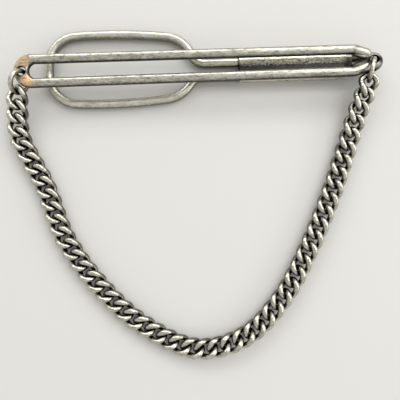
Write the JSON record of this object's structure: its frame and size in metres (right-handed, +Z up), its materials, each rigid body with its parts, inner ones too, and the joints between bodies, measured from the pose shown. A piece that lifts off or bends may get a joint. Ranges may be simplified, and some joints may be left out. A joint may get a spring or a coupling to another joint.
{
  "type": "tie clip",
  "caption": "Tie clip of two silver rails over a sprung wire loop, with a curb chain hanging in a swag between its ends.",
  "frame": {"origin": "middle of the part's bounding box, on the table it lies on", "axes": "+X along the bar from its rounded end to its fold, +Y across it away from the chain, +Z up from the table to the front of the clip"},
  "size_m": [0.0722, 0.0647, 0.0065],
  "materials": {
    "aged_silver": "oxidised silver plate, worn bright on its crowns, with dark recesses",
    "hammered_silver": "hammered and oxidised silver plate",
    "spring_wire": "satin silver-plated spring wire",
    "chain_silver": "polished silver plate with dark recesses"
  },
  "bodies": {
    "front": {"front_frame": "aged_silver"},
    "spring_arm": {"rear_leg": "aged_silver", "sleeve": "hammered_silver", "spring_loop": "spring_wire"},
    "chain": {"left_end_ring": "chain_silver", "right_end_ring": "chain_silver", "link_01": "chain_silver", "link_02": "chain_silver", "link_03": "chain_silver", "link_04": "chain_silver", "link_05": "chain_silver", "link_06": "chain_silver", "link_07": "chain_silver", "link_08": "chain_silver", "link_09": "chain_silver", "link_10": "chain_silver", "link_11": "chain_silver", "link_12": "chain_silver", "link_13": "chain_silver", "link_14": "chain_silver", "link_15": "chain_silver", "link_16": "chain_silver", "link_17": "chain_silver", "link_18": "chain_silver", "link_19": "chain_silver", "link_20": "chain_silver", "link_21": "chain_silver", "link_22": "chain_silver", "link_23": "chain_silver", "link_24": "chain_silver", "link_25": "chain_silver", "link_26": "chain_silver", "link_27": "chain_silver", "link_28": "chain_silver", "link_29": "chain_silver", "link_30": "chain_silver", "link_31": "chain_silver", "link_32": "chain_silver", "link_33": "chain_silver", "link_34": "chain_silver", "link_35": "chain_silver", "link_36": "chain_silver", "link_37": "chain_silver", "link_38": "chain_silver", "link_39": "chain_silver", "link_40": "chain_silver", "link_41": "chain_silver", "link_42": "chain_silver", "link_43": "chain_silver", "link_44": "chain_silver", "link_45": "chain_silver", "link_46": "chain_silver", "link_47": "chain_silver", "link_48": "chain_silver", "link_49": "chain_silver", "link_50": "chain_silver"}
  },
  "joints": [
    {"name": "clip_opening", "type": "hinge", "parent": "front", "child": "spring_arm", "pos_m": [0.03423, 0.02394, 0.00057], "axis": [0, -1, 0], "range_deg": [0, 8], "stiffness_Nm_per_rad": 1},
    {"name": "chain_swing", "type": "hinge", "parent": "front", "child": "chain", "pos_m": [0.00087, 0.02394, 0.00434], "axis": [-1, 0, -0.0008], "range_deg": [0, 25]}
  ]
}
